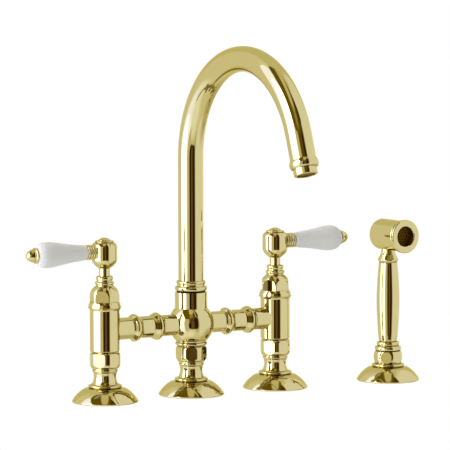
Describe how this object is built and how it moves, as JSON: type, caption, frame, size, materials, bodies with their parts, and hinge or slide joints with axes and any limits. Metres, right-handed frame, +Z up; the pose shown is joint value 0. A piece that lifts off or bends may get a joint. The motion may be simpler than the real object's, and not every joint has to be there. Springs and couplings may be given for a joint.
{
  "type": "kitchen mixer tap",
  "caption": "Polished brass bridge kitchen mixer with a swivelling swan-neck spout, porcelain lever handles and a pull-out side rinse in its own deck holder.",
  "frame": {"origin": "on the deck, at the mouth of the threaded socket under the centre leg", "axes": "+Z up, +X along the bridge to the user's right, -Y towards the user, which is the way the spout reaches"},
  "size_m": [0.4577, 0.2656, 0.3623],
  "materials": {
    "polished_brass": "mirror polished and lacquered",
    "brass": "turned, unpolished",
    "porcelain": "glazed white porcelain",
    "ceramic": "lapped alumina ceramic",
    "rubber": "matte",
    "nylon": "moulded",
    "stainless_steel": "bright",
    "dark_plastic": "moulded"
  },
  "bodies": {
    "fixed_body": {"left_flange": "polished_brass", "centre_flange": "polished_brass", "right_flange": "polished_brass", "spray_flange": "polished_brass", "deck_gaskets": "rubber", "left_pillar": "polished_brass", "centre_pillar": "polished_brass", "right_pillar": "polished_brass", "left_union_nut": "polished_brass", "centre_union_nut": "polished_brass", "right_union_nut": "polished_brass", "fixed_seals": "rubber", "left_valve_body": "polished_brass", "right_valve_body": "polished_brass", "cartridges": "brass", "fixed_discs": "ceramic", "left_bonnet": "polished_brass", "right_bonnet": "polished_brass", "glands": "polished_brass", "left_bridge_coupling": "polished_brass", "right_bridge_coupling": "polished_brass", "centre_body": "polished_brass", "swivel_bush": "nylon", "diverter_body": "brass", "spray_barrel_nut": "polished_brass"},
    "left_lever": {"left_spindle": "polished_brass", "left_moving_disc": "ceramic", "left_hub": "polished_brass", "left_hub_screw": "stainless_steel", "left_index_cap": "polished_brass", "left_ferrule": "polished_brass", "left_porcelain": "porcelain", "left_finial": "polished_brass"},
    "right_lever": {"right_spindle": "polished_brass", "right_moving_disc": "ceramic", "right_hub": "polished_brass", "right_hub_screw": "stainless_steel", "right_index_cap": "polished_brass", "right_ferrule": "polished_brass", "right_porcelain": "porcelain", "right_finial": "polished_brass"},
    "spout": {"spout_tube": "polished_brass", "spout_collar": "polished_brass", "spout_circlip": "stainless_steel", "spout_seals": "rubber", "spout_end": "polished_brass", "aerator_housing": "polished_brass", "aerator_insert": "dark_plastic"},
    "diverter": {"diverter_piston": "stainless_steel", "diverter_spring": "stainless_steel"},
    "holder_swivel": {"holder_liner": "nylon"},
    "handset": {"handset_base": "polished_brass", "handset_grip": "polished_brass", "handset_head": "polished_brass", "face_ring": "polished_brass", "spray_plate": "dark_plastic", "handset_spring": "stainless_steel"},
    "button": {"handset_button": "polished_brass"}
  },
  "joints": [
    {"name": "left_lever_turn", "type": "hinge", "parent": "fixed_body", "child": "left_lever", "pos_m": [-0.1016, 0, 0.153], "axis": [0, 0, 1], "range_deg": [0, 90]},
    {"name": "right_lever_turn", "type": "hinge", "parent": "fixed_body", "child": "right_lever", "pos_m": [0.1016, 0, 0.153], "axis": [0, 0, 1], "range_deg": [-90, 0]},
    {"name": "spout_swivel", "type": "hinge", "parent": "fixed_body", "child": "spout", "pos_m": [0, 0, 0.107], "axis": [0, 0, 1], "continuous": true},
    {"name": "diverter_slide", "type": "slide", "parent": "fixed_body", "child": "diverter", "axis": [0, 0, 1], "range_m": [0, 0.004], "stiffness_N_per_m": 60, "springref_m": -0.004, "deforming": ["diverter_spring"]},
    {"name": "handset_turn", "type": "hinge", "parent": "fixed_body", "child": "holder_swivel", "pos_m": [0.2335, -0.0137, 0.02], "axis": [0, 0, 1], "continuous": true},
    {"name": "handset_lift", "type": "slide", "parent": "holder_swivel", "child": "handset", "axis": [0, 0, 1], "range_m": [0, 0.6]},
    {"name": "button_press", "type": "slide", "parent": "handset", "child": "button", "axis": [0.0698, -0.9976, 0], "range_m": [0, 0.003], "stiffness_N_per_m": 300, "springref_m": -0.003, "deforming": ["handset_spring"]}
  ]
}
